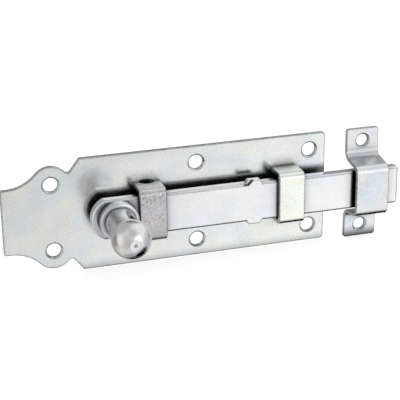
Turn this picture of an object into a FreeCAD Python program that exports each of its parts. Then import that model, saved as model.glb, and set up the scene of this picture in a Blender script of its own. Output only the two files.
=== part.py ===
import FreeCAD, Part
import math
import os
from FreeCAD import Vector

# Surface padbolt of zinc-plated steel: a flat bar slides along a stamped plate, under two folded
# straps, into a keeper screwed on beside it. A turned knob moves the bar.
# Frame, in millimetres: +X is the way the bar is thrown, +Z is up, and the front faces -Y.
# The plate's back lies in the plane Y = 0, and the origin is the middle of the plate's back.
# The bar is drawn thrown, with the knob's flange beside the rear strap.

# Base plate: a rectangular body whose rear end narrows into an ornamental tail with two ears.
plate_height = 44.0
plate_thickness = 1.5
plate_corner_radius = 1.2
plate_edge_bevel = 0.25
tail_length = 29.5
tail_end_height = 25.4
tail_flat_length = 2.0
tail_corner_radius = 0.8
ear_radius = 7.1
ear_run_off_angle = 40.0
notch_setback = 4.2
notch_radius = 1.2
shoulder_radius = 0.4

# Screw holes: punched, with a small lead-in at the front.
screw_hole_diameter = 5.5
screw_hole_lead_in = 0.5
ear_hole_setback = 11.0
ear_hole_edge_inset = 9.1
body_hole_edge_inset = 6.45
middle_hole_offset = 44.4
end_hole_inset = 6.6

# Guide straps: folded from sheet, with tenons closed into slots of the plate.
strap_width = 10.2
strap_thickness = 1.8
strap_inner_radius = 0.8
strap_edge_bevel = 0.2
strap_front_clearance = 0.3
strap_side_clearance = 0.85
rear_strap_setback = 19.85
front_strap_inset = 12.0
tenon_width = 6.0
shackle_notch_width = 5.8
shackle_notch_height = 2.6

# Sliding bar: flat steel with bevelled edges, a rounded rear end and two pinched stop ears.
# It lies a little below the straps' middle, which the play in them allows.
bolt_throw = 31.5
bar_width = 15.3
bar_thickness = 4.2
bar_stand_off = 3.7
bar_drop = 0.25
bar_rear_margin = 2.45
bar_rear_flattening = 0.8
bar_tip_reach = 5.5
bar_edge_bevel = 0.75
bar_tip_radius = 1.2
stop_clearance = 0.3
stop_ear_margin = 6.25
stop_ear_length = 6.2
stop_ear_reach = 1.2
stop_ear_flank = 0.7
stop_ear_crest_radius = 0.6
stop_crease_run = 0.8
stop_crease_slope = 45.0
stop_crease_depth = 1.1
stop_ear_back_step = 0.8

# Knob: turned in one piece, with a shank through the bar that is closed behind it.
# Heights along its axis are measured from the bar's front face.
knob_running_gap = 0.5
knob_flange_diameter = 14.9
knob_flange_thickness = 3.9
knob_flange_edge_radius = 1.1
knob_seat_diameter = 13.6
knob_seat_bevel_height = 1.1
knob_flare_diameter = 11.8
knob_neck_diameter = 10.8
knob_neck_flare_length = 5.0
knob_head_diameter = 14.4
knob_head_centre_height = 19.8
knob_ring_diameter = 3.5
knob_ring_width = 0.35
knob_ring_depth = 0.15
knob_nib_diameter = 1.1
knob_nib_tip_diameter = 0.55
knob_shank_diameter = 6.0
knob_rear_head_diameter = 10.0
knob_rear_head_bevel = 1.5
knob_plate_clearance = 0.4

# Keeper: a hat-shaped strap with a screw tab above and below.
keeper_width = 13.4
keeper_thickness = 1.5
keeper_gap = 9.1
keeper_drop = 0.65
keeper_side_clearance = 1.0
keeper_front_clearance = 1.6
keeper_wall_lean = 1.75
keeper_tab_length = 12.1
keeper_hole_inset = 5.0
keeper_hole_diameter = 4.8
keeper_hole_lead_in = 0.6
keeper_tab_radius = 2.8
keeper_crown_radius = 1.4
keeper_corner_radius = 1.0
keeper_edge_bevel = 0.2

# How far a cutter runs past the faces that it cuts.
cut_margin = 1.0

# Places along the plate, from the tail's end: the space between the straps holds the throw.
strap_space = stop_clearance + bolt_throw + stop_ear_length + stop_ear_margin
body_length = rear_strap_setback + 2 * strap_width + strap_space + front_strap_inset
plate_length = tail_length + body_length
plate_left = -plate_length / 2
plate_right = plate_length / 2
shoulder = plate_left + tail_length
rear_strap_left = shoulder + rear_strap_setback
front_strap_left = plate_right - front_strap_inset - strap_width
stop_ear_left = rear_strap_left + strap_width + stop_clearance + bolt_throw
keeper_left = plate_right + keeper_gap
knob_x = rear_strap_left - knob_running_gap - knob_flange_diameter / 2
bar_left = knob_x - knob_flange_diameter / 2 - bar_rear_margin
bar_right = keeper_left + keeper_width + bar_tip_reach

# Depths, and places across the plate.
plate_front = -plate_thickness
bar_back = plate_front - bar_stand_off
bar_front = bar_back - bar_thickness
bar_half = bar_width / 2
strap_inner_front = bar_front - strap_front_clearance
strap_inner_half = bar_half + strap_side_clearance
ear_hole_x = shoulder - ear_hole_setback
ear_hole_z = plate_height / 2 - ear_hole_edge_inset
middle_hole_x = shoulder + middle_hole_offset
end_hole_x = plate_right - end_hole_inset
body_hole_z = plate_height / 2 - body_hole_edge_inset


def at(x, z):
    """A point of an upright outline."""
    return Vector(x, 0, z)


def line(start, end):
    return Part.LineSegment(start, end).toShape()


def on_circle(centre, radius, angle):
    """The point of an upright circle at an angle from +X towards +Z, in degrees."""
    turn = math.radians(angle)
    return centre + Vector(radius * math.cos(turn), 0, radius * math.sin(turn))


def arc(centre, radius, start, end):
    """An upright arc between two angles in degrees, through the angle midway."""
    points = [on_circle(centre, radius, angle) for angle in (start, (start + end) / 2, end)]
    return Part.Arc(*points).toShape()


def face_of(edges):
    """A flat face inside a closed outline, whose edges come in any order."""
    return Part.Face(Part.Wire(Part.__sortEdges__(edges)))


def extrude_along_y(face, front, back):
    """A solid from a face drawn in the plane Y = 0, between two depths."""
    solid = face.extrude(Vector(0, back - front, 0))
    solid.translate(Vector(0, front, 0))
    return solid


def mirrored(edges):
    """The same edges below the centre line."""
    return [edge.mirror(Vector(0, 0, 0), Vector(0, 0, 1)) for edge in edges]


def screw_hole(x, z, diameter, lead_in, front):
    """A cutter for a hole through to the back plane, with a cone that opens at the front."""
    radius = diameter / 2
    depth = cut_margin - front + cut_margin
    shank = Part.makeCylinder(radius, depth, Vector(x, front - cut_margin, z), Vector(0, 1, 0))
    cone = Part.makeCone(radius + lead_in, radius, lead_in, Vector(x, front, z), Vector(0, 1, 0))
    return shank.fuse(cone)


def edges_along_y(solid, x, z, reach=0.05):
    """The straight edges along Y that stand at a given place of an outline."""
    found = []
    for edge in solid.Edges:
        box = edge.BoundBox
        upright = box.XLength < reach and box.ZLength < reach
        if upright and abs(box.Center.x - x) < reach and abs(box.Center.z - z) < reach:
            found.append(edge)
    return found


def round_corners(solid, corners):
    """Rounds an outline's corners, each given as x, z and radius."""
    for x, z, radius in corners:
        solid = solid.makeFillet(radius, edges_along_y(solid, x, z))
    return solid


def edges_at_depth(solid, y, reach=0.01):
    """Every edge that lies flat at one depth."""
    found = []
    for edge in solid.Edges:
        box = edge.BoundBox
        if abs(box.YMin - y) < reach and abs(box.YMax - y) < reach:
            found.append(edge)
    return found


def plate_outline():
    """The upper half's edges from the tail to the shoulder, and the notch before the shoulder."""
    ear = at(ear_hole_x, ear_hole_z)
    tail_half = tail_end_height / 2
    hollow_x = plate_left + tail_flat_length
    # The hollow flank is an arc that leaves the tail's flat edge and meets the ear, both smoothly.
    run = ear.x - hollow_x
    rise = ear.z - tail_half
    hollow_radius = (run ** 2 + rise ** 2 - ear_radius ** 2) / (2 * (ear_radius + rise))
    hollow = at(hollow_x, tail_half + hollow_radius)
    meeting = math.degrees(math.atan2(hollow.z - ear.z, hollow.x - ear.x))
    leaving = 90 - ear_run_off_angle
    ear_end = on_circle(ear, ear_radius, leaving)
    notch_x = shoulder - notch_setback
    fall = (notch_x - ear_end.x) * math.tan(math.radians(ear_run_off_angle))
    notch = at(notch_x, ear_end.z - fall)
    edges = [
        line(at(plate_left, tail_half), at(hollow_x, tail_half)),
        arc(hollow, hollow_radius, -90, meeting - 180),
        arc(ear, ear_radius, meeting, leaving),
        line(ear_end, notch),
        line(notch, at(shoulder, plate_height / 2)),
        line(at(shoulder, plate_height / 2), at(plate_right, plate_height / 2)),
    ]
    return edges, notch


def plate_holes():
    """Centres of the plate's six screw holes."""
    centres = []
    for side in (1, -1):
        centres.append((ear_hole_x, side * ear_hole_z))
        centres.append((middle_hole_x, side * body_hole_z))
        centres.append((end_hole_x, side * body_hole_z))
    return centres


def tenon_places(strap_left, notched):
    """Left edge and width of each tenon along one wall of a strap."""
    if not notched:
        return [(strap_left + (strap_width - tenon_width) / 2, tenon_width)]
    foot = (strap_width - shackle_notch_width) / 2
    return [(strap_left, foot), (strap_left + strap_width - foot, foot)]


def tenons(strap_left, notched):
    """The tenons of one strap, as deep as the plate is thick."""
    solids = []
    for left, width in tenon_places(strap_left, notched):
        for low in (strap_inner_half, -strap_inner_half - strap_thickness):
            corner = Vector(left, plate_front, low)
            solids.append(Part.makeBox(width, plate_thickness, strap_thickness, corner))
    return solids


def make_base_plate():
    """The stamped plate: outline, rounded corners, bevelled front edge, holes and tenon slots."""
    half = plate_height / 2
    tail_half = tail_end_height / 2
    top, notch = plate_outline()
    ends = [
        line(at(plate_right, half), at(plate_right, -half)),
        line(at(plate_left, -tail_half), at(plate_left, tail_half)),
    ]
    plate = extrude_along_y(face_of(top + mirrored(top) + ends), plate_front, 0)
    corners = []
    for side in (1, -1):
        corners.append((plate_left, side * tail_half, tail_corner_radius))
        corners.append((notch.x, side * notch.z, notch_radius))
        corners.append((shoulder, side * half, shoulder_radius))
        corners.append((plate_right, side * half, plate_corner_radius))
    plate = round_corners(plate, corners)
    plate = plate.makeChamfer(plate_edge_bevel, edges_at_depth(plate, plate_front))
    cutters = []
    for x, z in plate_holes():
        cutters.append(screw_hole(x, z, screw_hole_diameter, screw_hole_lead_in, plate_front))
    cutters += tenons(rear_strap_left, True) + tenons(front_strap_left, False)
    return plate.cut(cutters)


def moved_run(start, end, distance):
    """A straight run of a folded strip's section, moved sideways to its left."""
    way = (end - start).normalize()
    side = Vector(0, -way.z, way.y) * distance
    return start + side, end + side


def crossing(first, second):
    """Where two lines of the YZ plane meet."""
    start, end = first
    other_start, other_end = second
    way = end - start
    other = other_end - other_start
    gap = other_start - start
    return start + way * ((gap.y * other.z - gap.z * other.y) / (way.y * other.z - way.z * other.y))


def bent_side(points, inner_radii, thickness, distance):
    """One side of a folded strip: its path moved sideways, with arcs at the bends.

    The moved side lies on the inside of a left turn and on the outside of a right turn, so both
    sides of one bend have the same centre.
    """
    runs = [moved_run(start, end, distance) for start, end in zip(points, points[1:])]
    ways = [(end - start).normalize() for start, end in runs]
    edges = []
    start = runs[0][0]
    for index, inner_radius in enumerate(inner_radii):
        before = ways[index]
        after = ways[index + 1]
        left_turn = before.y * after.z - before.z * after.y > 0
        radius = inner_radius if left_turn == (distance > 0) else inner_radius + thickness
        corner = crossing(runs[index], runs[index + 1])
        half_turn = before.getAngle(after) / 2
        reach = radius * math.tan(half_turn)
        bend_start = corner - before * reach
        bend_end = corner + after * reach
        inward = (after - before).normalize()
        bend_middle = corner + inward * (radius / math.cos(half_turn) - radius)
        edges.append(line(start, bend_start))
        edges.append(Part.Arc(bend_start, bend_middle, bend_end).toShape())
        start = bend_end
    end = runs[-1][1]
    edges.append(line(start, end))
    return edges, runs[0][0], end


def folded_strip(points, inner_radii, thickness, left, width):
    """A strip of sheet folded along a path in the YZ plane, with the sheet to the path's left."""
    near, near_start, near_end = bent_side(points, inner_radii, thickness, 0.0)
    far, far_start, far_end = bent_side(points, inner_radii, thickness, thickness)
    ends = [line(near_start, far_start), line(near_end, far_end)]
    strip = face_of(near + far + ends).extrude(Vector(width, 0, 0))
    strip.translate(Vector(left, 0, 0))
    return strip


def bevel_cut_sides(strip, left, width, bevel, foot_y=None):
    """Bevels the sheet's long edges on both cut sides of a strip, but for those at its foot."""
    foot = [] if foot_y is None else edges_at_depth(strip, foot_y)
    chosen = []
    for edge in strip.Edges:
        box = edge.BoundBox
        side_gap = min(abs(box.XMin - left), abs(box.XMax - left - width))
        in_cut_side = box.XLength < bevel and side_gap < bevel
        if in_cut_side and not any(edge.isSame(other) for other in foot):
            chosen.append(edge)
    return strip.makeChamfer(bevel, chosen)


def make_strap(strap_left, notched):
    """A guide strap: two walls and a flat front, with tenons that fill the plate's slots."""
    inner = [
        Vector(0, plate_front, -strap_inner_half),
        Vector(0, strap_inner_front, -strap_inner_half),
        Vector(0, strap_inner_front, strap_inner_half),
        Vector(0, plate_front, strap_inner_half),
    ]
    radii = [strap_inner_radius, strap_inner_radius]
    strap = folded_strip(inner, radii, strap_thickness, strap_left, strap_width)
    strap = bevel_cut_sides(strap, strap_left, strap_width, strap_edge_bevel, plate_front)
    if notched:
        outer_half = strap_inner_half + strap_thickness + cut_margin
        middle = Vector(strap_left + strap_width / 2, plate_front, -outer_half)
        rim = Part.Ellipse(middle, shackle_notch_width / 2, shackle_notch_height).toShape()
        strap = strap.cut(face_of([rim]).extrude(Vector(0, 0, 2 * outer_half)))
    return strap.fuse(tenons(strap_left, notched)).removeSplitter()


def stop_ear(side):
    """A pinched ear on one edge of the bar: a flat-topped trapezium with rounded crests."""
    left = stop_ear_left
    right = left + stop_ear_length
    foot = bar_half - stop_ear_reach
    crest = bar_half + stop_ear_reach
    upper = [
        at(left, foot), at(left, bar_half), at(left + stop_ear_flank, crest),
        at(right - stop_ear_flank, crest), at(right, bar_half), at(right, foot),
    ]
    outline = [at(point.x, side * point.z) for point in upper]
    face = Part.Face(Part.makePolygon(outline + outline[:1]))
    ear = extrude_along_y(face, bar_front, bar_back - stop_ear_back_step)
    # The slanted edges stand out past the bar too, so all but those inside it are rounded.
    outside = bar_half + stop_ear_reach / 4
    crests = [edge for edge in ear.Edges if abs(edge.CenterOfMass.z) > outside]
    return ear.makeFillet(stop_ear_crest_radius, crests)


def stop_crease():
    """The slanted step that the pinching tool leaves at the upper ear, cut from the front."""
    foot = at(stop_ear_left + stop_crease_run, bar_half - bar_edge_bevel)
    rise = stop_ear_reach + bar_edge_bevel + cut_margin
    head = at(foot.x + rise / math.tan(math.radians(stop_crease_slope)), foot.z + rise)
    left = stop_ear_left - cut_margin
    corners = [foot, head, at(left, head.z), at(left, foot.z)]
    face = Part.Face(Part.makePolygon(corners + corners[:1]))
    return extrude_along_y(face, bar_front - cut_margin, bar_front + stop_crease_depth)


def make_bar():
    """The sliding bar: round rear end, bevelled edges, stop ears and the hole for the shank."""
    rear_radius = bar_half + bar_rear_flattening
    sagitta = rear_radius - math.sqrt(rear_radius ** 2 - bar_half ** 2)
    centre = at(bar_left + rear_radius, 0)
    turn = math.degrees(math.asin(bar_half / rear_radius))
    edges = [
        arc(centre, rear_radius, 180 - turn, 180 + turn),
        line(at(bar_left + sagitta, bar_half), at(bar_right, bar_half)),
        line(at(bar_right, bar_half), at(bar_right, -bar_half)),
        line(at(bar_right, -bar_half), at(bar_left + sagitta, -bar_half)),
    ]
    bar = extrude_along_y(face_of(edges), bar_front, bar_back)
    bar = round_corners(bar, [(bar_right, side * bar_half, bar_tip_radius) for side in (1, -1)])
    rims = edges_at_depth(bar, bar_front) + edges_at_depth(bar, bar_back)
    bar = bar.makeChamfer(bar_edge_bevel, rims)
    bar = bar.fuse([stop_ear(1), stop_ear(-1)])
    reach = bar_thickness + 2 * cut_margin
    start = Vector(knob_x, bar_front - cut_margin, 0)
    shank = Part.makeCylinder(knob_shank_diameter / 2, reach, start, Vector(0, 1, 0))
    bar = bar.cut([stop_crease(), shank])
    bar.translate(Vector(0, 0, -bar_drop))
    return bar


def knob_point(radius, height):
    """A point of the knob's half section, with its height in front of the bar's face."""
    return Vector(radius, bar_front - height, 0)


def knob_run(points):
    """Straight edges through points of the half section, each given as radius and height."""
    ends = [knob_point(*point) for point in points]
    return [line(start, end) for start, end in zip(ends, ends[1:])]


def knob_arc(*points):
    """An arc of the half section through three points, each given as radius and height."""
    return Part.Arc(*[knob_point(*point) for point in points]).toShape()


def knob_head_height(radius):
    """Height of the round head's front at a distance from the axis."""
    return knob_head_centre_height + math.sqrt((knob_head_diameter / 2) ** 2 - radius ** 2)


def make_knob():
    """The knob: its half section, from the closed rear head to the nib, turned about its axis."""
    flange = knob_flange_diameter / 2
    seat = knob_seat_diameter / 2
    shank = knob_shank_diameter / 2
    neck = knob_neck_diameter / 2
    head = knob_head_diameter / 2
    rim_radius = knob_flange_edge_radius
    rim_height = knob_flange_thickness - rim_radius
    rim_middle = rim_radius * math.sqrt(0.5)
    flare_top = knob_flange_thickness + knob_neck_flare_length
    rim_end = flange - rim_radius
    flare = knob_flare_diameter / 2
    # The flare is an arc that runs into the straight neck, so its centre is level with its top.
    flare_radius = ((flare - neck) ** 2 + knob_neck_flare_length ** 2) / (2 * (flare - neck))
    flare_half = math.asin(knob_neck_flare_length / flare_radius) / 2
    flare_middle = (neck + flare_radius * (1 - math.cos(flare_half)),
                    flare_top - flare_radius * math.sin(flare_half))
    neck_top = knob_head_centre_height - math.sqrt(head ** 2 - neck ** 2)
    rear = knob_rear_head_diameter / 2
    rear_face = -bar_thickness - bar_stand_off + knob_plate_clearance
    ring = knob_ring_diameter / 2
    ring_outer = ring + knob_ring_width
    ring_floor = knob_head_height(ring) - knob_ring_depth
    pole = knob_head_centre_height + head
    edges = knob_run([
        (0, pole), (0, rear_face), (rear - knob_rear_head_bevel, rear_face),
        (rear, rear_face + knob_rear_head_bevel), (rear, -bar_thickness), (shank, -bar_thickness),
        (shank, 0), (seat, 0), (flange, knob_seat_bevel_height), (flange, rim_height),
    ])
    edges.append(knob_arc(
        (flange, rim_height),
        (rim_end + rim_middle, rim_height + rim_middle),
        (rim_end, knob_flange_thickness),
    ))
    edges += knob_run([(rim_end, knob_flange_thickness), (flare, knob_flange_thickness)])
    edges.append(knob_arc((flare, knob_flange_thickness), flare_middle, (neck, flare_top)))
    edges += knob_run([(neck, flare_top), (neck, neck_top)])
    ring_edge = (ring_outer, knob_head_height(ring_outer))
    edges.append(knob_arc((neck, neck_top), (head, knob_head_centre_height), ring_edge))
    edges += knob_run([
        ring_edge, (ring, ring_floor),
        (knob_nib_diameter / 2, ring_floor), (knob_nib_tip_diameter / 2, pole), (0, pole),
    ])
    knob = face_of(edges).revolve(Vector(0, 0, 0), Vector(0, 1, 0), 360)
    knob.translate(Vector(knob_x, 0, -bar_drop))
    return knob


def make_keeper():
    """The keeper: tab, leaning wall, crown, leaning wall, tab, with round bends between them."""
    crown = bar_half + keeper_side_clearance
    foot = crown + keeper_wall_lean
    end = foot + keeper_tab_length
    crown_back = bar_front - keeper_front_clearance
    section = [(0, -end), (0, -foot), (crown_back, -crown), (crown_back, crown), (0, foot), (0, end)]
    points = [Vector(0, y, z - keeper_drop) for y, z in section]
    radii = [keeper_tab_radius, keeper_crown_radius, keeper_crown_radius, keeper_tab_radius]
    keeper = folded_strip(points, radii, keeper_thickness, keeper_left, keeper_width)
    sides = (keeper_left, keeper_left + keeper_width)
    tips = (end - keeper_drop, -end - keeper_drop)
    keeper = round_corners(keeper, [(x, z, keeper_corner_radius) for x in sides for z in tips])
    keeper = bevel_cut_sides(keeper, keeper_left, keeper_width, keeper_edge_bevel)
    holes = []
    for side in (1, -1):
        x = keeper_left + keeper_width / 2
        z = side * (end - keeper_hole_inset) - keeper_drop
        holes.append(screw_hole(x, z, keeper_hole_diameter, keeper_hole_lead_in, -keeper_thickness))
    return keeper.cut(holes)


def write(name, shape):
    """Saves one piece after checking that it is a single sound solid."""
    solids = shape.Solids
    if len(solids) != 1 or not shape.isValid():
        raise ValueError(f"{name} is not one valid solid: {len(solids)} found")
    solids[0].exportStep(f"parts/{name}.step")


os.makedirs("parts", exist_ok=True)
write("base_plate", make_base_plate())
write("rear_strap", make_strap(rear_strap_left, True))
write("front_strap", make_strap(front_strap_left, False))
write("bolt_bar", make_bar())
write("knob", make_knob())
write("keeper", make_keeper())
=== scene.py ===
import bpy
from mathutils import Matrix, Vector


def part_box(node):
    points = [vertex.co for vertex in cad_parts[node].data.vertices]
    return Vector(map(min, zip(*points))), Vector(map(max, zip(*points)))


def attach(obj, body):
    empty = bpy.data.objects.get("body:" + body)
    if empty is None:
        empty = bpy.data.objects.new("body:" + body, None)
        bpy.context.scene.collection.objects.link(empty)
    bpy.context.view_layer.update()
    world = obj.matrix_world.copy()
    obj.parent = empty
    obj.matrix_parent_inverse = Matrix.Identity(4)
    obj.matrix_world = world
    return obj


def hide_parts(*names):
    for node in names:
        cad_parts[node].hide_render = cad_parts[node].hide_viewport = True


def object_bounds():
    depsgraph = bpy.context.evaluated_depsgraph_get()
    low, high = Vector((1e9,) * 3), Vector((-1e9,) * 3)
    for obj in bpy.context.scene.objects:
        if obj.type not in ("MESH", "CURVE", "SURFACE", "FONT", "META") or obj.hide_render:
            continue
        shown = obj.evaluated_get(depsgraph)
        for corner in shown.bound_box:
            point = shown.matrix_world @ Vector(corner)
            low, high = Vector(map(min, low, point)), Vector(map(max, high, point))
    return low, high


bl_info = {
    "name": "Padbolt with keeper",
    "version": (1, 0, 0),
    "blender": (4, 5, 0),
    "location": "3D View > Sidebar > Padbolt",
    "description": "Finishes a zinc-plated padbolt, turns its knob and sets up the stage",
    "category": "Object",
}

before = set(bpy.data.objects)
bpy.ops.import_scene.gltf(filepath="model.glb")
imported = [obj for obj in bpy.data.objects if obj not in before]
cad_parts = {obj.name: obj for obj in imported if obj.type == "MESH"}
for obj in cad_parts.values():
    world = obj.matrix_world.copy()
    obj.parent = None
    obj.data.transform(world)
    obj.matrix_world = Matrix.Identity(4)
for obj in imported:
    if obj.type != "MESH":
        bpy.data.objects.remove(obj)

import math

import bpy
import numpy as np
from bpy.props import FloatProperty, FloatVectorProperty, IntProperty, PointerProperty
from mathutils import Matrix, Vector

CAD_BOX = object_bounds()
BAR_LOW, BAR_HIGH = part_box("bolt_bar")
KNOB_LOW, KNOB_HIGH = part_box("knob")
BAR_FRONT, BAR_BACK = -BAR_LOW.y, -BAR_HIGH.y
KNOB_BACK = -KNOB_HIGH.y
KNOB_MIDDLE = (KNOB_LOW + KNOB_HIGH) / 2
MM = 0.001

# Linear colours: the clouds that multiply the tint, and the tones that it is mixed towards.
WHITE = (1.0, 1.0, 1.0, 1.0)
BLUISH = (0.90, 0.96, 1.0, 1.0)
YELLOWISH = (1.0, 1.0, 0.93, 1.0)
PINKISH = (1.0, 0.94, 0.98, 1.0)
GREYISH = (0.90, 0.90, 0.90, 1.0)
SPECK_TONE = (0.30, 0.30, 0.33, 1.0)
# Painted reflection: the tone of the dark streaks on the knob's neck.
REFLECTION_STREAK_TONE = (0.12, 0.13, 0.14, 1.0)
# Painted shade: the tone of the dark lines along edges and bends.
EDGE_SHADE_TONE = (0.08, 0.08, 0.09, 1.0)
# Painted shade: the tone that hollows and places beside other pieces are darkened towards.
HOLLOW_SHADE_TONE = (0.06, 0.06, 0.065, 1.0)

# What clouds, fine lines and specks add to the roughness where they are strongest.
CLOUD_DULLING = 0.06
LINE_DULLING = 0.06
SPECK_DULLING = 0.3

# The slow waves of the sheet: how many to a metre, and their height against the fine lines.
WAVE_SCALE = 90.0
WAVE_HEIGHT = 6.0

# Noise scales, in waves to a metre, and how dark and bright the grain makes the clouds.
GRAIN_SCALE = 2200.0
GRAIN_DARK, GRAIN_BRIGHT = 0.94, 1.03
PINK_STRENGTH = 0.6
PATCH_SCALE = 120.0
BREAK_SCALE = 900.0

# How far off another surface still paints shade into a hollow.
HOLLOW_SHADE_REACH = 5.0 * MM

# The painted reflection streaks on the knob's neck: the stretch in heights from the bar's front face,
# the scale of their noise round the axis, and how far they go towards their tone.
STREAKS_FOOT = 4.5 * MM
STREAKS_END = 14.5 * MM
STREAKS_FADE = 1.0 * MM
STREAKS_SCALE = 1.5
STREAKS_STRENGTH = 0.6

# The rear strap's darker front and foot: in y where it begins and is full, in z where the strap is
# darkest and where it is clear again, and the share of the colour that is left where it is darkest.
FRONT_BEGINS, FRONT_FULL = -10.3 * MM, -11.2 * MM
FOOT_DARK, FOOT_CLEAR = -9.5 * MM, -2.0 * MM
FOOT_SHARE = 0.78

# Points along the knob's profile: rim, flare, neck, head, floor of the ring and nib.
RIM_POINTS = 16
FLARE_POINTS = 24
NECK_POINTS = 6
HEAD_POINTS = 84
FLOOR_POINTS = 4
NIB_POINTS = 3
SHARP_ANGLE = math.radians(30)

# The stage: half the floor's side, and the camera's sensor and clipping distances.
FLOOR_REACH = 3.0
SENSOR_WIDTH = 36.0
CLIP_START, CLIP_END = 0.01, 20.0

# Softboxes: turn right of the plate's normal and rise, in degrees, distance, width and height,
# in metres, and brightness.
SOFTBOXES = (
    ("key_softbox", 30.0, 40.0, 0.60, 0.30, 0.62, 1.15),
    ("side_softbox", -82.0, 30.0, 0.60, 0.26, 0.34, 1.05),
)
# What metal sees round the object: turn, rise, inner and outer half angle, in degrees, and the
# change of brightness, which is whole within the inner angle and fades out at the outer one.
ROOM = (
    (35.0, 0.0, 10.0, 45.0, 0.31),
    (27.0, 15.0, 15.0, 28.0, 0.38),
    (20.0, -32.0, 8.0, 22.0, 0.22),
    (10.0, -12.0, 3.0, 13.0, -0.20),
    (-5.0, -20.0, 4.0, 20.0, -0.10),
    (-80.0, 5.0, 12.0, 34.0, 0.24),
    (-40.0, 0.0, 6.0, 50.0, -0.20),
    (90.0, -10.0, 15.0, 40.0, -0.20),
    (82.0, -54.0, 12.0, 26.0, -0.75),
    (-150.0, 40.0, 30.0, 60.0, -0.25),
    (-115.0, -12.0, 10.0, 30.0, -0.45),
    (95.0, 45.0, 20.0, 50.0, 0.30),
    (158.0, 34.0, 8.0, 26.0, -0.40),
    (5.0, 55.0, 8.0, 34.0, -0.18),
    (0.0, -90.0, 12.0, 30.0, -0.35),
    (140.0, -60.0, 12.0, 27.0, -0.46),
    (180.0, -27.0, 28.0, 52.0, -0.38),
)


def length(name, description, millimetres):
    """A property for a length, given in millimetres and kept in metres."""
    return FloatProperty(
        name=name, description=description, default=millimetres * MM,
        min=0.0, unit="LENGTH", subtype="DISTANCE", precision=5,
    )


def share(name, description, default):
    """A property for a value from 0 to 1."""
    return FloatProperty(
        name=name, description=description, default=default, min=0.0, max=1.0, subtype="FACTOR",
    )


def colour(name, description, default):
    """A property for a linear colour."""
    return FloatVectorProperty(
        name=name, description=description, default=default, size=3,
        min=0.0, max=1.0, subtype="COLOR",
    )


class ZincFinish(bpy.types.PropertyGroup):
    """Colours and gloss of the zinc plating, one set for each kind of part."""

    plate_tint: colour("Plate", "Zinc colour of the base plate", (0.79, 0.80, 0.795))
    rear_strap_tint: colour("Rear strap", "Zinc colour of the rear strap", (0.80, 0.79, 0.80))
    front_strap_tint: colour("Front strap", "Zinc colour of the front strap", (0.88, 0.90, 0.85))
    bar_tint: colour("Bar", "Zinc colour of the sliding bar", (0.825, 0.82, 0.85))
    knob_tint: colour("Knob", "Zinc colour of the turned knob", (0.82, 0.80, 0.83))
    keeper_tint: colour("Keeper", "Zinc colour of the keeper", (0.79, 0.81, 0.84))
    sheet_roughness: share("Sheet roughness", "Roughness of the rolled sheet parts", 0.18)
    bar_roughness: share("Bar roughness", "Roughness of the drawn bar", 0.14)
    knob_roughness: share("Knob roughness", "Roughness of the turned knob", 0.11)
    keeper_roughness: share("Keeper roughness", "Roughness of the keeper", 0.28)
    rear_strap_roughness: share("Rear strap roughness", "Roughness of the rear strap", 0.26)
    clouding: share("Clouding", "Strength of the bluish and yellowish clouds", 0.9)
    # Painted shade: how strong the dark lines along edges and bends are.
    edge_shade: share("Painted edge shade", "Strength of the dark lines along edges and bends", 1.0)
    # Painted shade: how strongly hollows and places beside other pieces are darkened.
    hollows: share("Painted hollow shade", "Strength of the darkening in hollows and beside other pieces", 0.8)


class KnobTurning(bpy.types.PropertyGroup):
    """Sizes of the turned knob. Heights are measured from the bar's front face."""

    flange_diameter: length("Flange diameter", "Widest circle of the flange", 14.9)
    flange_thickness: length("Flange thickness", "Height of the flange's front edge", 3.9)
    rim_radius: length("Rim radius", "Rounding of the flange's rim", 1.1)
    seat_diameter: length("Seat diameter", "Circle that bears on the bar", 13.6)
    seat_bevel: length("Seat bevel", "Height of the bevel above the seat", 1.1)
    flare_diameter: length("Flare diameter", "Foot of the flare on the flange", 11.8)
    neck_diameter: length("Neck diameter", "Narrowest part of the neck", 10.8)
    neck_flare: length("Neck flare", "Length of the flare above the flange", 5.0)
    head_diameter: length("Head diameter", "Widest circle of the head", 14.4)
    head_height: length("Head height", "Height of the head's widest circle", 19.8)
    ring_diameter: length("Ring diameter", "Inner edge of the ring left by the tool", 3.5)
    ring_width: length("Ring width", "Width of that ring", 0.35)
    ring_depth: length("Ring depth", "Depth of that ring", 0.15)
    nib_diameter: length("Nib diameter", "Foot of the parting nib", 1.1)
    nib_tip: length("Nib tip", "Tip of the parting nib", 0.55)
    shank_diameter: length("Shank diameter", "Shank through the bar", 6.0)
    rear_diameter: length("Rear head diameter", "Closed head behind the bar", 10.0)
    rear_bevel: length("Rear head bevel", "Bevel of the closed head", 1.5)
    turns: IntProperty(name="Points round", description="Points round the knob", default=192, min=24)


class StageSet(bpy.types.PropertyGroup):
    """The floor, the light and the camera."""

    floor_colour: colour("Floor", "Colour of the floor", (0.42, 0.42, 0.42))
    floor_glow: share("Floor glow", "White that the camera sees in the floor", 0.72)
    sky_level: FloatProperty(
        name="Sky level", description="Soft light from all round", default=0.85, min=0.0,
    )
    room_level: FloatProperty(
        name="Room level", description="Brightness of the room in metal", default=0.80, min=0.0,
    )
    camera_place: FloatVectorProperty(
        name="Camera place", description="Where the camera stands", size=3, subtype="TRANSLATION",
        unit="LENGTH", default=(-0.11163258, -0.40876624, 0.16342542),
    )
    camera_turn: FloatProperty(
        name="Camera turn", description="Turn from the plate's normal, to the right",
        subtype="ANGLE", unit="ROTATION", default=math.radians(16.91756),
    )
    camera_fall: FloatProperty(
        name="Camera fall", description="How steeply the camera looks down",
        subtype="ANGLE", unit="ROTATION", default=math.radians(20.97860),
    )
    camera_roll: FloatProperty(
        name="Camera roll", description="Tilt of the picture",
        subtype="ANGLE", unit="ROTATION", default=math.radians(-0.74518),
    )
    lens: FloatProperty(name="Lens", description="Focal length in millimetres", default=108.0, min=1.0)


# Node groups. A noise's value varies round 0.5, and the two numbers that follow it in a call of
# ranged are where its effect begins and where it is full.


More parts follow.
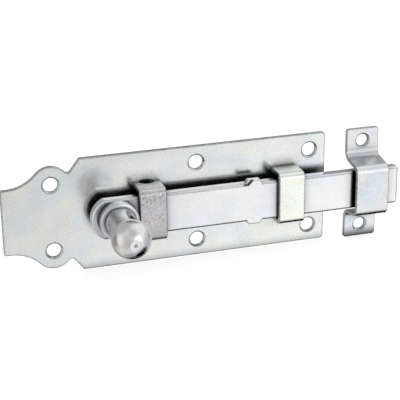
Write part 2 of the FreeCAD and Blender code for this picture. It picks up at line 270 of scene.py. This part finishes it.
def new_group(name, inputs, outputs):
    """An empty shader group with its sockets, and its input and output nodes."""
    group = bpy.data.node_groups.new(name, "ShaderNodeTree")
    for label, kind, default in inputs:
        socket = group.interface.new_socket(label, in_out="INPUT", socket_type=kind)
        if default is not None:
            socket.default_value = default
    for label, kind in outputs:
        group.interface.new_socket(label, in_out="OUTPUT", socket_type=kind)
    return group, group.nodes.new("NodeGroupInput"), group.nodes.new("NodeGroupOutput")


def node(tree, kind, **values):
    """A node with its settings; a key that names an input socket sets that socket."""
    made = tree.nodes.new(kind)
    for key, value in values.items():
        if hasattr(made, key):
            setattr(made, key, value)
        else:
            made.inputs[key].default_value = value
    return made


def arithmetic(tree, operation, first, second):
    """One math node; each operand is a socket or a number."""
    made = tree.nodes.new("ShaderNodeMath")
    made.operation = operation
    for socket, value in zip(made.inputs, (first, second)):
        if isinstance(value, bpy.types.NodeSocket):
            tree.links.new(value, socket)
        else:
            socket.default_value = value
    return made.outputs[0]


def stretched(tree, vector, scale):
    """The vector with each coordinate multiplied by its own number."""
    made = node(tree, "ShaderNodeVectorMath", operation="MULTIPLY")
    made.inputs[1].default_value = scale
    tree.links.new(vector, made.inputs[0])
    return made.outputs[0]


def noise(tree, vector, scale, detail=2.0):
    """A noise texture's value."""
    made = node(tree, "ShaderNodeTexNoise", Scale=scale, Detail=detail)
    tree.links.new(vector, made.inputs["Vector"])
    return made.outputs["Fac"]


def ranged(tree, value, low, high, start=0.0, end=1.0):
    """The value moved from one range to another and held inside it."""
    made = node(tree, "ShaderNodeMapRange", clamp=True)
    for socket, number in zip(made.inputs[1:5], (low, high, start, end)):
        socket.default_value = number
    tree.links.new(value, made.inputs[0])
    return made.outputs[0]


def mixed(tree, factor, first, second, blend="MIX"):
    """A colour mix; each of the three is a socket or a value."""
    made = node(tree, "ShaderNodeMix", data_type="RGBA", blend_type=blend)
    for socket, value in zip((made.inputs[0], made.inputs[6], made.inputs[7]), (factor, first, second)):
        if isinstance(value, bpy.types.NodeSocket):
            tree.links.new(value, socket)
        else:
            socket.default_value = value
    return made.outputs[2]


def clouding_group():
    """Soft bluish, yellowish and pinkish clouds in the plating."""
    group, given, result = new_group(
        "Zinc clouding",
        [("Vector", "NodeSocketVector", None), ("Tint", "NodeSocketColor", (0.8, 0.8, 0.8, 1.0)),
         ("Size", "NodeSocketFloat", 95.0), ("Amount", "NodeSocketFloat", 0.5)],
        [("Colour", "NodeSocketColor"), ("Dullness", "NodeSocketFloat")],
    )
    clouds = node(group, "ShaderNodeTexNoise", Detail=3.0, Roughness=0.45)
    group.links.new(given.outputs["Vector"], clouds.inputs["Vector"])
    group.links.new(given.outputs["Size"], clouds.inputs["Scale"])
    parts = node(group, "ShaderNodeSeparateColor")
    group.links.new(clouds.outputs["Color"], parts.inputs[0])
    warm = ranged(group, parts.outputs[0], 0.38, 0.62)
    pink = ranged(group, parts.outputs[1], 0.45, 0.68)
    dull = ranged(group, parts.outputs[2], 0.35, 0.65)
    hue = mixed(group, warm, BLUISH, YELLOWISH)
    hue = mixed(group, arithmetic(group, "MULTIPLY", pink, PINK_STRENGTH), hue, PINKISH)
    shade = mixed(group, dull, GREYISH, WHITE)
    hue = mixed(group, 1.0, hue, shade, "MULTIPLY")
    grain = noise(group, given.outputs["Vector"], GRAIN_SCALE)
    grain = ranged(group, grain, 0.3, 0.7, GRAIN_DARK, GRAIN_BRIGHT)
    hue = mixed(group, 1.0, hue, grain, "MULTIPLY")
    hue = mixed(group, given.outputs["Amount"], WHITE, hue)
    tinted = mixed(group, 1.0, hue, given.outputs["Tint"], "MULTIPLY")
    group.links.new(tinted, result.inputs["Colour"])
    group.links.new(dull, result.inputs["Dullness"])
    return group


def lines_group():
    """Fine lines of rolling, drawing or turning: noise on a vector that is stretched across them."""
    group, given, result = new_group(
        "Fine lines",
        [("Vector", "NodeSocketVector", None), ("Scale", "NodeSocketFloat", 1.0)],
        [("Height", "NodeSocketFloat"), ("Mask", "NodeSocketFloat")],
    )
    lines = node(group, "ShaderNodeTexNoise", Detail=4.0, Roughness=0.6)
    group.links.new(given.outputs["Vector"], lines.inputs["Vector"])
    group.links.new(given.outputs["Scale"], lines.inputs["Scale"])
    group.links.new(lines.outputs["Fac"], result.inputs["Height"])
    group.links.new(ranged(group, lines.outputs["Fac"], 0.3, 0.7), result.inputs["Mask"])
    return group


def speckle_group():
    """Small dull specks and pits, gathered in patches."""
    group, given, result = new_group(
        "Plating specks",
        [("Vector", "NodeSocketVector", None), ("Scale", "NodeSocketFloat", 1500.0),
         ("Amount", "NodeSocketFloat", 0.5)],
        [("Mask", "NodeSocketFloat")],
    )
    specks = node(group, "ShaderNodeTexNoise", Detail=3.0, Roughness=0.7)
    group.links.new(given.outputs["Vector"], specks.inputs["Vector"])
    group.links.new(given.outputs["Scale"], specks.inputs["Scale"])
    spots = ranged(group, specks.outputs["Fac"], 0.44, 0.62)
    patches = noise(group, given.outputs["Vector"], PATCH_SCALE)
    patches = ranged(group, patches, 0.4, 0.6, 0.25, 1.0)
    mask = arithmetic(group, "MULTIPLY", spots, patches)
    mask = arithmetic(group, "MULTIPLY", mask, given.outputs["Amount"])
    group.links.new(mask, result.inputs["Mask"])
    return group


def edge_shade_group():
    """Painted shade: a broken mask for dark lines along edges and bends, where a normal rounded over
    Width leans from the true.
    """
    group, given, result = new_group(
        "Painted edge shade",
        [("Vector", "NodeSocketVector", None), ("Amount", "NodeSocketFloat", 0.5),
         ("Width", "NodeSocketFloat", 0.5 * MM)],
        [("Mask", "NodeSocketFloat")],
    )
    rounded = node(group, "ShaderNodeBevel", samples=4)
    group.links.new(given.outputs["Width"], rounded.inputs["Radius"])
    true = group.nodes.new("ShaderNodeNewGeometry")
    lean = node(group, "ShaderNodeVectorMath", operation="DOT_PRODUCT")
    group.links.new(rounded.outputs[0], lean.inputs[0])
    group.links.new(true.outputs["Normal"], lean.inputs[1])
    edge = ranged(group, lean.outputs["Value"], 0.997, 0.95)
    broken = noise(group, given.outputs["Vector"], BREAK_SCALE, 3.0)
    broken = ranged(group, broken, 0.35, 0.6, 0.6, 1.0)
    mask = arithmetic(group, "MULTIPLY", edge, broken)
    mask = arithmetic(group, "MULTIPLY", mask, given.outputs["Amount"])
    group.links.new(mask, result.inputs["Mask"])
    return group


def hollow_shade_group():
    """Painted shade: a mask in hollows and close to other surfaces, where the colour is darkened to
    deepen the dark that metal mirrors there.
    """
    group, given, result = new_group(
        "Painted hollow shade", [("Amount", "NodeSocketFloat", 0.5)], [("Mask", "NodeSocketFloat")],
    )
    open_sky = node(group, "ShaderNodeAmbientOcclusion", samples=8, Distance=HOLLOW_SHADE_REACH)
    mask = ranged(group, open_sky.outputs["AO"], 0.95, 0.50)
    mask = arithmetic(group, "MULTIPLY", mask, given.outputs["Amount"])
    group.links.new(mask, result.inputs["Mask"])
    return group


def shared_group(name):
    """One of the shared groups, built the first time that it is asked for."""
    makers = {
        "Zinc clouding": clouding_group, "Fine lines": lines_group,
        "Plating specks": speckle_group, "Painted edge shade": edge_shade_group, "Painted hollow shade": hollow_shade_group,
    }
    return bpy.data.node_groups.get(name) or makers[name]()


def placed(tree, name, **values):
    """A shared group placed in a material, with its own values."""
    made = tree.nodes.new("ShaderNodeGroup")
    made.node_tree = shared_group(name)
    for key, value in values.items():
        if isinstance(value, bpy.types.NodeSocket):
            tree.links.new(value, made.inputs[key])
        else:
            made.inputs[key].default_value = value
    return made


def streaks(tree, spot):
    """Painted reflection: dark bands round the knob's axis, seen only between the foot and the end of
    its neck.
    """
    around = node(tree, "ShaderNodeVectorMath", operation="NORMALIZE")
    tree.links.new(stretched(tree, off_axis(tree, spot), (1.0, 0.0, 1.0)), around.inputs[0])
    bands = ranged(tree, noise(tree, around.outputs[0], STREAKS_SCALE, 1.0), 0.43, 0.57)
    parts = tree.nodes.new("ShaderNodeSeparateXYZ")
    tree.links.new(spot, parts.inputs[0])
    height = arithmetic(tree, "SUBTRACT", -BAR_FRONT, parts.outputs[1])
    foot = ranged(tree, height, STREAKS_FOOT, STREAKS_FOOT + STREAKS_FADE)
    end = ranged(tree, height, STREAKS_END, STREAKS_END + STREAKS_FADE, 1.0, 0.0)
    bands = arithmetic(tree, "MULTIPLY", bands, arithmetic(tree, "MULTIPLY", foot, end))
    return arithmetic(tree, "MULTIPLY", bands, STREAKS_STRENGTH)


def darker_front(tree, spot, front_share):
    """What is left of the rear strap's colour: a share of it in front, and less at the foot."""
    parts = tree.nodes.new("ShaderNodeSeparateXYZ")
    tree.links.new(spot, parts.inputs[0])
    front = ranged(tree, parts.outputs[1], FRONT_BEGINS, FRONT_FULL, 1.0, front_share)
    foot = ranged(tree, parts.outputs[2], FOOT_DARK, FOOT_CLEAR, FOOT_SHARE, 1.0)
    return arithmetic(tree, "MULTIPLY", front, foot)


def zinc(name, tint, roughness, finish, lines, line_depth, specks, turned=False,
         front_share=1.0, edge=0.5 * MM, deep=1.0):
    """Zinc-plated steel: clouded colour, fine lines along the grain, specks, and painted shade as dark
    lines along edges and bends and as darkening in hollows.

    `lines` is about how many fine lines there are to a metre along each axis, `line_depth` their
    depth, `specks` the strength of the specks and `edge` the width of the painted dark lines at
    edges. A `turned` piece has its fine lines round the knob's axis and painted reflection streaks
    on its neck. `front_share` is the share of the colour that is left on the rear strap's front, and
    `deep` multiplies the painted shade in hollows.
    """
    material = bpy.data.materials.new(name)
    material.use_nodes = True
    tree = material.node_tree
    shader = tree.nodes["Principled BSDF"]
    shader.inputs["Metallic"].default_value = 1.0
    spot = tree.nodes.new("ShaderNodeTexCoord").outputs["Object"]
    clouds = placed(tree, "Zinc clouding", Vector=spot, Tint=(*tint, 1.0), Amount=finish.clouding)
    speckle = placed(tree, "Plating specks", Vector=spot, Amount=specks)
    edges = placed(tree, "Painted edge shade", Vector=spot, Amount=finish.edge_shade, Width=edge)
    hollows = placed(tree, "Painted hollow shade", Amount=finish.hollows * deep)
    along = turning_vector(tree, spot, lines) if turned else stretched(tree, spot, lines)
    grain = placed(tree, "Fine lines", Vector=along)

    tone = mixed(tree, speckle.outputs["Mask"], clouds.outputs["Colour"], SPECK_TONE)
    if turned:
        # Painted reflection: dark streaks on the knob's neck.
        tone = mixed(tree, streaks(tree, spot), tone, REFLECTION_STREAK_TONE)
    if front_share < 1.0:
        tone = mixed(tree, 1.0, tone, darker_front(tree, spot, front_share), "MULTIPLY")
    # Painted shade: dark lines along edges and bends.
    tone = mixed(tree, edges.outputs["Mask"], tone, EDGE_SHADE_TONE)
    # Painted shade: the colour is darkened in hollows and beside other pieces.
    tone = mixed(tree, hollows.outputs["Mask"], tone, HOLLOW_SHADE_TONE)
    tree.links.new(tone, shader.inputs["Base Color"])

    gloss = arithmetic(tree, "MULTIPLY", clouds.outputs["Dullness"], CLOUD_DULLING)
    for marks, dulling in ((grain, LINE_DULLING), (speckle, SPECK_DULLING)):
        added = arithmetic(tree, "MULTIPLY", marks.outputs["Mask"], dulling)
        gloss = arithmetic(tree, "ADD", gloss, added)
    gloss = arithmetic(tree, "ADD", gloss, roughness - (CLOUD_DULLING + LINE_DULLING) / 2)
    tree.links.new(gloss, shader.inputs["Roughness"])

    waves = arithmetic(tree, "MULTIPLY", noise(tree, spot, WAVE_SCALE, 1.0), WAVE_HEIGHT)
    bump = node(tree, "ShaderNodeBump", Strength=1.0, Distance=line_depth)
    tree.links.new(arithmetic(tree, "ADD", waves, grain.outputs["Height"]), bump.inputs["Height"])
    tree.links.new(bump.outputs["Normal"], shader.inputs["Normal"])
    return material


def off_axis(tree, spot):
    """The place measured from the knob's axis."""
    moved = node(tree, "ShaderNodeVectorMath", operation="SUBTRACT")
    moved.inputs[1].default_value = (KNOB_MIDDLE.x, 0.0, KNOB_MIDDLE.z)
    tree.links.new(spot, moved.inputs[0])
    return moved.outputs[0]


def turning_vector(tree, spot, scale):
    """Coordinates for tool marks: distance from the knob's axis, and height along it."""
    parts = tree.nodes.new("ShaderNodeSeparateXYZ")
    tree.links.new(off_axis(tree, spot), parts.inputs[0])
    square = arithmetic(tree, "MULTIPLY", parts.outputs[0], parts.outputs[0])
    other = arithmetic(tree, "MULTIPLY", parts.outputs[2], parts.outputs[2])
    radius = arithmetic(tree, "SQRT", arithmetic(tree, "ADD", square, other), 0.0)
    joined = tree.nodes.new("ShaderNodeCombineXYZ")
    tree.links.new(arithmetic(tree, "MULTIPLY", radius, scale[0]), joined.inputs[0])
    tree.links.new(arithmetic(tree, "MULTIPLY", parts.outputs[1], scale[1]), joined.inputs[1])
    return joined.outputs[0]


def dress(name, material):
    """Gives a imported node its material."""
    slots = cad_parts[name].material_slots
    if not slots:
        raise RuntimeError(f"{name} has no material slot")
    for slot in slots:
        slot.material = material


# Surfaces


def straight(start, end, count=2):
    """Points on the line from start to end: start + t (end - start), without the end."""
    t = np.linspace(0.0, 1.0, count, endpoint=False)[:, None]
    return np.asarray(start) + t * (np.asarray(end) - np.asarray(start))


def circular(centre, radius, start, end, count):
    """Points on a circle: centre + radius (cos a, sin a) for a from start to end, without the end."""
    a = np.linspace(start, end, count, endpoint=False)
    return np.column_stack((centre[0] + radius * np.cos(a), centre[1] + radius * np.sin(a)))


def knob_profile(sizes):
    """The knob's half section as rows of radius and height, from the rear head to the nib.

    The flange's rim is a quarter circle, the flare an arc that runs into the straight neck, and
    the head a circle, up to the tool's ring round the nib.
    """
    flange, seat = sizes.flange_diameter / 2, sizes.seat_diameter / 2
    flare, neck = sizes.flare_diameter / 2, sizes.neck_diameter / 2
    head, rim = sizes.head_diameter / 2, sizes.rim_radius
    shank, rear = sizes.shank_diameter / 2, sizes.rear_diameter / 2
    nib, tip = sizes.nib_diameter / 2, sizes.nib_tip / 2
    rear_face, bar_back = BAR_FRONT - KNOB_BACK, BAR_FRONT - BAR_BACK
    top, rim_foot = sizes.flange_thickness, sizes.flange_thickness - rim
    flare_top = top + sizes.neck_flare
    flare_radius = ((flare - neck) ** 2 + sizes.neck_flare ** 2) / (2 * (flare - neck))
    flare_turn = math.asin(sizes.neck_flare / flare_radius)
    flare_centre = (neck + flare_radius, flare_top)
    neck_turn = math.acos(neck / head)
    neck_end = sizes.head_height - head * math.sin(neck_turn)
    ring = sizes.ring_diameter / 2
    ring_turn = math.acos((ring + sizes.ring_width) / head)
    ring_edge = (head * math.cos(ring_turn), sizes.head_height + head * math.sin(ring_turn))
    floor = sizes.head_height + math.sqrt(head ** 2 - ring ** 2) - sizes.ring_depth
    pole = sizes.head_height + head
    return np.concatenate([
        [(0.0, rear_face)],
        straight((rear - sizes.rear_bevel, rear_face), (rear, rear_face + sizes.rear_bevel)),
        straight((rear, rear_face + sizes.rear_bevel), (rear, bar_back)),
        straight((rear, bar_back), (shank, bar_back)),
        straight((shank, bar_back), (shank, 0.0)),
        straight((shank, 0.0), (seat, 0.0)),
        straight((seat, 0.0), (flange, sizes.seat_bevel)),
        straight((flange, sizes.seat_bevel), (flange, rim_foot)),
        circular((flange - rim, rim_foot), rim, 0.0, math.pi / 2, RIM_POINTS),
        straight((flange - rim, top), (flare, top)),
        circular(flare_centre, flare_radius, math.pi + flare_turn, math.pi, FLARE_POINTS),
        straight((neck, flare_top), (neck, neck_end), NECK_POINTS),
        circular((0.0, sizes.head_height), head, -neck_turn, ring_turn, HEAD_POINTS),
        straight(ring_edge, (ring, floor)),
        straight((ring, floor), (nib, floor), FLOOR_POINTS),
        straight((nib, floor), (tip, pole), NIB_POINTS),
        [(tip, pole), (0.0, pole)],
    ])


def turned_mesh(name, profile, count, x, y, z):
    """A profile turned about an axis along -Y through (x, z), with heights measured from y.

    Point (i, j) is x + r_i cos a_j, y - h_i, z + r_i sin a_j, and the first and last rows are poles.
    """
    radius, height = profile[1:-1, 0], profile[1:-1, 1]
    angle = np.linspace(0.0, 2 * math.pi, count, endpoint=False)
    rows = len(radius)
    grid = np.empty((rows, count, 3))
    grid[..., 0] = x + radius[:, None] * np.cos(angle)
    grid[..., 1] = y - height[:, None]
    grid[..., 2] = z + radius[:, None] * np.sin(angle)
    poles = np.array([(x, y - profile[0, 1], z), (x, y - profile[-1, 1], z)])
    points = np.concatenate((grid.reshape(-1, 3), poles))
    here = np.arange(count)
    after = (here + 1) % count
    start = (np.arange(rows - 1) * count)[:, None]
    quads = np.stack((start + here, start + after, start + count + after, start + count + here), -1)
    last = (rows - 1) * count
    back = np.stack((after, here, np.full(count, rows * count)), -1)
    front = np.stack((last + here, last + after, np.full(count, rows * count + 1)), -1)
    mesh = bpy.data.meshes.new(name)
    faces = quads.reshape(-1, 4).tolist() + back.tolist() + front.tolist()
    mesh.from_pydata(points, [], faces)
    mesh.shade_smooth()
    mesh.set_sharp_from_angle(angle=SHARP_ANGLE)
    return mesh


def linked(name, mesh, material):
    """An object at the origin that shows the mesh, with its material."""
    made = bpy.data.objects.new(name, mesh)
    mesh.materials.append(material)
    bpy.context.scene.collection.objects.link(made)
    return made


# Light and directions


def towards(turn, rise):
    """The direction at a turn right of the plate's normal and a rise over the horizon, in degrees."""
    turn, rise = math.radians(turn), math.radians(rise)
    return math.sin(turn) * math.cos(rise), -math.cos(turn) * math.cos(rise), math.sin(rise)


def seen_rays(tree):
    """1 for what the camera sees directly, in metal or through glass, and 0 for lighting rays."""
    path = tree.nodes.new("ShaderNodeLightPath")
    seen = arithmetic(tree, "MAXIMUM", path.outputs["Is Camera Ray"], path.outputs["Is Glossy Ray"])
    return arithmetic(tree, "MAXIMUM", seen, path.outputs["Is Transmission Ray"])


# Operators


class PADBOLT_OT_plate(bpy.types.Operator):
    """Gives the base plate its clouded, rolled zinc"""

    bl_idname = "padbolt.plate"
    bl_label = "Finish the plate"

    def execute(self, context):
        finish = context.scene.padbolt_finish
        dress("base_plate", zinc(
            "plate_zinc_rolled", finish.plate_tint, finish.sheet_roughness, finish,
            lines=(250.0, 250.0, 1600.0), line_depth=0.004 * MM, specks=0.12, edge=0.7 * MM, deep=0.9,
        ))
        return {"FINISHED"}


class PADBOLT_OT_straps(bpy.types.Operator):
    """Gives the two guide straps their zinc; the rear one is duller, and darker in front and towards
    its foot
    """

    bl_idname = "padbolt.straps"
    bl_label = "Finish the straps"

    def execute(self, context):
        finish = context.scene.padbolt_finish
        dress("rear_strap", zinc(
            "rear_strap_zinc", finish.rear_strap_tint, finish.rear_strap_roughness, finish,
            lines=(900.0, 900.0, 500.0), line_depth=0.010 * MM, specks=0.7, front_share=0.78, deep=0.6,
        ))
        dress("front_strap", zinc(
            "front_strap_zinc", finish.front_strap_tint, finish.sheet_roughness, finish,
            lines=(900.0, 900.0, 400.0), line_depth=0.005 * MM, specks=0.12,
        ))
        return {"FINISHED"}


class PADBOLT_OT_bar(bpy.types.Operator):
    """Gives the sliding bar its drawn zinc with fine lines along it"""

    bl_idname = "padbolt.bar"
    bl_label = "Finish the bar"

    def execute(self, context):
        finish = context.scene.padbolt_finish
        dress("bolt_bar", zinc(
            "bar_zinc_drawn", finish.bar_tint, finish.bar_roughness, finish,
            lines=(60.0, 1800.0, 1800.0), line_depth=0.004 * MM, specks=0.12,
        ))
        return {"FINISHED"}


class PADBOLT_OT_keeper(bpy.types.Operator):
    """Gives the keeper its bluish zinc"""

    bl_idname = "padbolt.keeper"
    bl_label = "Finish the keeper"

    def execute(self, context):
        finish = context.scene.padbolt_finish
        dress("keeper", zinc(
            "keeper_zinc_folded", finish.keeper_tint, finish.keeper_roughness, finish,
            lines=(900.0, 900.0, 400.0), line_depth=0.005 * MM, specks=0.2, deep=1.6,
        ))
        return {"FINISHED"}


class PADBOLT_OT_knob(bpy.types.Operator):
    """Turns the knob as one smooth surface with the tool marks of a lathe"""

    bl_idname = "padbolt.knob"
    bl_label = "Turn the knob"

    def execute(self, context):
        finish, sizes = context.scene.padbolt_finish, context.scene.padbolt_knob
        material = zinc(
            "knob_zinc_turned", finish.knob_tint, finish.knob_roughness, finish,
            lines=(3000.0, 3000.0), line_depth=0.005 * MM, specks=0.3, turned=True,
        )
        place = (KNOB_MIDDLE.x, -BAR_FRONT, KNOB_MIDDLE.z)
        mesh = turned_mesh("knob_turned", knob_profile(sizes), sizes.turns, *place)
        knob = linked("knob_turned", mesh, material)
        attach(knob, "bolt")
        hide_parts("knob")
        return {"FINISHED"}


class PADBOLT_OT_stage(bpy.types.Operator):
    """Lays the pale floor, sets the soft light and places the camera"""

    bl_idname = "padbolt.stage"
    bl_label = "Set the stage"

    def execute(self, context):
        stage = context.scene.padbolt_stage
        self.lay_floor(stage)
        self.set_sky(context.scene, stage)
        self.hang_lamps(context.scene)
        self.place_camera(context.scene, stage)
        context.scene.view_settings.view_transform = "Standard"
        return {"FINISHED"}

    def lay_floor(self, stage):
        """A square under the object, which the metal doesn't mirror."""
        mesh = bpy.data.meshes.new("floor")
        low = CAD_BOX[0].z
        signs = ((-1, -1), (1, -1), (1, 1), (-1, 1))
        corners = [(x * FLOOR_REACH, y * FLOOR_REACH, low) for x, y in signs]
        mesh.from_pydata(corners, [], [(0, 1, 2, 3)])
        material = bpy.data.materials.new("pale_floor")
        material.use_nodes = True
        tree = material.node_tree
        shader = tree.nodes["Principled BSDF"]
        shader.inputs["Base Color"].default_value = (*stage.floor_colour, 1.0)
        shader.inputs["Roughness"].default_value = 0.9
        shader.inputs["Specular IOR Level"].default_value = 0.0
        shader.inputs["Emission Color"].default_value = WHITE
        glow = arithmetic(tree, "MULTIPLY", seen_rays(tree), stage.floor_glow)
        tree.links.new(glow, shader.inputs["Emission Strength"])
        floor = linked("floor", mesh, material)
        floor.visible_glossy = False

    def set_sky(self, scene, stage):
        """White for the camera, even light for lighting rays, and the patches of ROOM for metal."""
        sky = bpy.data.worlds.new("studio")
        sky.use_nodes = True
        scene.world = sky
        tree = sky.node_tree
        path = tree.nodes.new("ShaderNodeLightPath")
        around = tree.nodes.new("ShaderNodeTexCoord").outputs["Generated"]
        room = stage.room_level
        for turn, rise, inner, outer, change in ROOM:
            ahead = node(tree, "ShaderNodeVectorMath", operation="DOT_PRODUCT")
            ahead.inputs[1].default_value = towards(turn, rise)
            tree.links.new(around, ahead.inputs[0])
            low, high = math.cos(math.radians(outer)), math.cos(math.radians(inner))
            patch = ranged(tree, ahead.outputs["Value"], low, high, 0.0, change)
            room = arithmetic(tree, "ADD", patch, room)
        mirrored = arithmetic(tree, "MULTIPLY", path.outputs["Is Glossy Ray"], room)
        through = path.outputs["Is Transmission Ray"]
        seen = arithmetic(tree, "MAXIMUM", path.outputs["Is Camera Ray"], through)
        others = arithmetic(tree, "SUBTRACT", 1.0, seen_rays(tree))
        lit = arithmetic(tree, "MULTIPLY", others, stage.sky_level)
        strength = arithmetic(tree, "ADD", arithmetic(tree, "ADD", lit, mirrored), seen)
        back = tree.nodes["Background"]
        back.inputs["Color"].default_value = WHITE
        tree.links.new(strength, back.inputs["Strength"])

    def hang_lamps(self, scene):
        """Two softboxes for the floor; each one's power follows from its brightness and area."""
        for name, turn, rise, distance, width, height, brightness in SOFTBOXES:
            light = bpy.data.lights.new(name, "AREA")
            light.shape = "RECTANGLE"
            light.size, light.size_y = width, height
            light.energy = brightness * math.pi * width * height
            lamp = bpy.data.objects.new(name, light)
            ahead = Vector(towards(turn, rise))
            lamp.location = ahead * distance
            lamp.rotation_euler = (-ahead).to_track_quat("-Z", "Y").to_euler()
            lamp.visible_glossy = False
            scene.collection.objects.link(lamp)

    def place_camera(self, scene, stage):
        """The camera of the photograph: a place, a turn, a fall and a roll."""
        turn, fall, roll = stage.camera_turn, stage.camera_fall, stage.camera_roll
        out = math.cos(fall)
        ahead = Vector((math.sin(turn) * out, math.cos(turn) * out, -math.sin(fall)))
        level = ahead.cross(Vector((0, 0, 1))).normalized()
        upright = level.cross(ahead)
        right = level * math.cos(roll) + upright * math.sin(roll)
        up = upright * math.cos(roll) - level * math.sin(roll)
        data = bpy.data.cameras.new("camera")
        data.lens, data.sensor_width = stage.lens, SENSOR_WIDTH
        data.clip_start, data.clip_end = CLIP_START, CLIP_END
        camera = bpy.data.objects.new("camera", data)
        turned = Matrix((right, up, -ahead)).transposed().to_4x4()
        camera.matrix_world = Matrix.Translation(Vector(stage.camera_place)) @ turned
        scene.collection.objects.link(camera)
        scene.camera = camera


class PADBOLT_PT_panel(bpy.types.Panel):
    """Lists the padbolt's pieces and their settings"""

    bl_label = "Padbolt"
    bl_idname = "PADBOLT_PT_panel"
    bl_space_type = "VIEW_3D"
    bl_region_type = "UI"
    bl_category = "Padbolt"

    def draw(self, context):
        for step in STEPS:
            self.layout.operator(step.bl_idname)
        scene = context.scene
        for settings in (scene.padbolt_finish, scene.padbolt_knob, scene.padbolt_stage):
            box = self.layout.box()
            for key in settings.__annotations__:
                box.prop(settings, key)


SETTINGS = (ZincFinish, KnobTurning, StageSet)
STEPS = (
    PADBOLT_OT_plate, PADBOLT_OT_straps, PADBOLT_OT_bar, PADBOLT_OT_keeper, PADBOLT_OT_knob,
    PADBOLT_OT_stage,
)


def register():
    """Registers the classes and gives the scene their settings."""
    for made in SETTINGS + STEPS + (PADBOLT_PT_panel,):
        bpy.utils.register_class(made)
    bpy.types.Scene.padbolt_finish = PointerProperty(type=ZincFinish)
    bpy.types.Scene.padbolt_knob = PointerProperty(type=KnobTurning)
    bpy.types.Scene.padbolt_stage = PointerProperty(type=StageSet)


def unregister():
    """Takes back what register did."""
    del bpy.types.Scene.padbolt_stage
    del bpy.types.Scene.padbolt_knob
    del bpy.types.Scene.padbolt_finish
    for made in reversed(SETTINGS + STEPS + (PADBOLT_PT_panel,)):
        bpy.utils.unregister_class(made)


def main():
    """Builds every piece and the stage."""
    register()
    bpy.ops.padbolt.plate()
    bpy.ops.padbolt.straps()
    bpy.ops.padbolt.bar()
    bpy.ops.padbolt.keeper()
    bpy.ops.padbolt.knob()
    bpy.ops.padbolt.stage()


if __name__ == "__main__":
    main()
